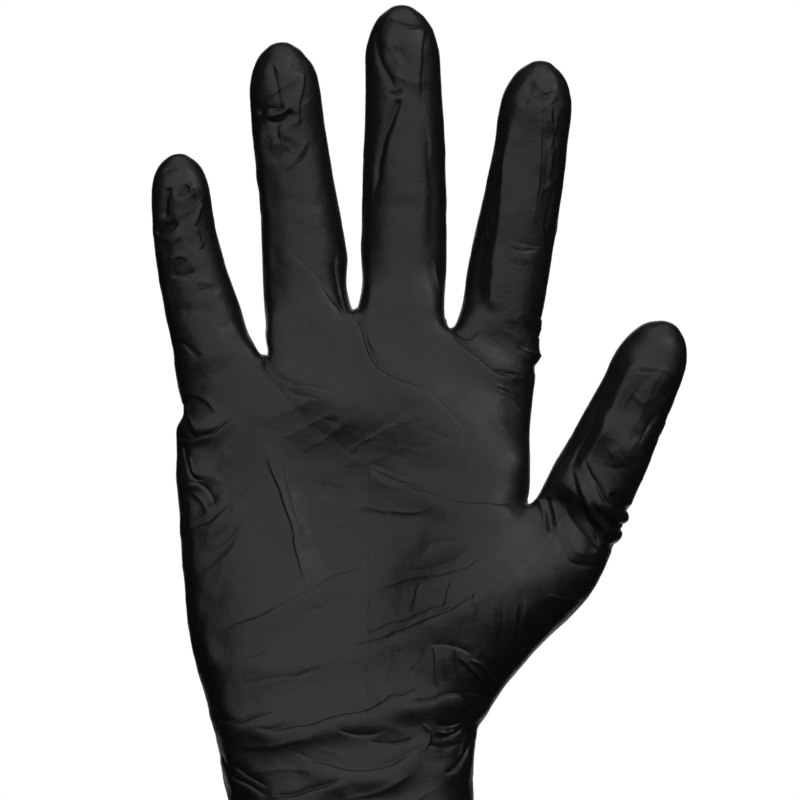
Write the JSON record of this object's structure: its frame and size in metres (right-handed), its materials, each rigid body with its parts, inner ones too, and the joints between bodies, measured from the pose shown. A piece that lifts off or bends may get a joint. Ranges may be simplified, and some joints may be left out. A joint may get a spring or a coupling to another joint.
{
  "type": "disposable nitrile exam glove",
  "caption": "Thin black nitrile exam glove for a hand held open, with spread fingers, a long wrist cuff and a rolled bead at its mouth.",
  "frame": {"origin": "centre of the cuff's mouth, at the level of the rolled bead's lower edge", "axes": "+Z from the cuff to the fingertips, -Y out of the palm, +X towards the thumb"},
  "size_m": [0.1391, 0.0508, 0.2408],
  "materials": {
    "nitrile_film": "satin dipped film, black through and through"
  },
  "bodies": {
    "root": {"glove_film": "nitrile_film"}
  },
  "joints": []
}
